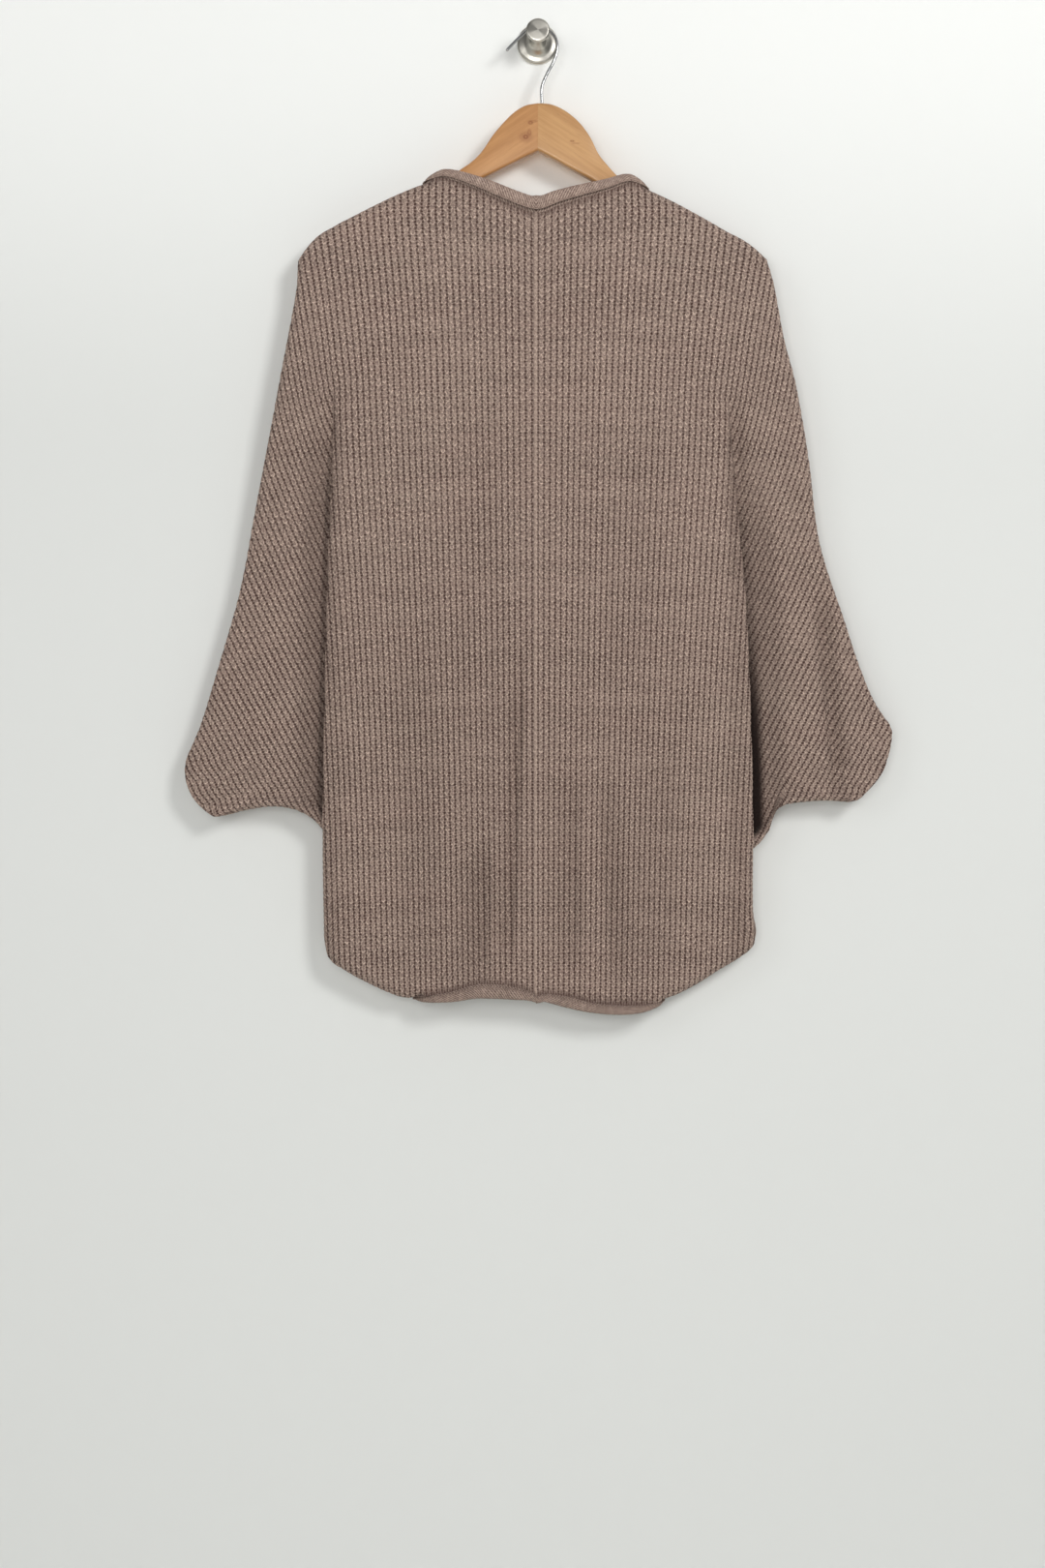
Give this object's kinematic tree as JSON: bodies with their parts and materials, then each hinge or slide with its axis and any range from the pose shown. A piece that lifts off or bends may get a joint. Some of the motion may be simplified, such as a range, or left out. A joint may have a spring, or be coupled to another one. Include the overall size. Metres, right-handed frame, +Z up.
{
  "type": "long cardigan on a wall hanger",
  "caption": "Open batwing cardigan in chunky marled knit with a rolled edge band, hung back outwards on a wooden hanger on a steel wall knob.",
  "frame": {"origin": "middle of the wall plate of the knob that holds the hanger, on the plate's flat back face", "axes": "+Z up, +Y into the wall, +X to the right when facing the wall"},
  "size_m": [0.6686, 0.0472, 0.9606],
  "materials": {
    "knit": "marled tuck-stitch knit",
    "band": "plain knit, rolled",
    "wood_left": "clear varnish",
    "wood_right": "clear varnish",
    "wire": "bright nickel plate",
    "knob": "brushed"
  },
  "bodies": {
    "root": {"back_and_sleeve_left": "knit", "back_and_sleeve_right": "knit", "front_and_sleeve_left": "knit", "front_and_sleeve_right": "knit", "edge_band_left": "band", "edge_band_right": "band", "hanger_left": "wood_left", "hanger_right": "wood_right", "hook": "wire", "wall_knob": "knob"}
  },
  "joints": []
}
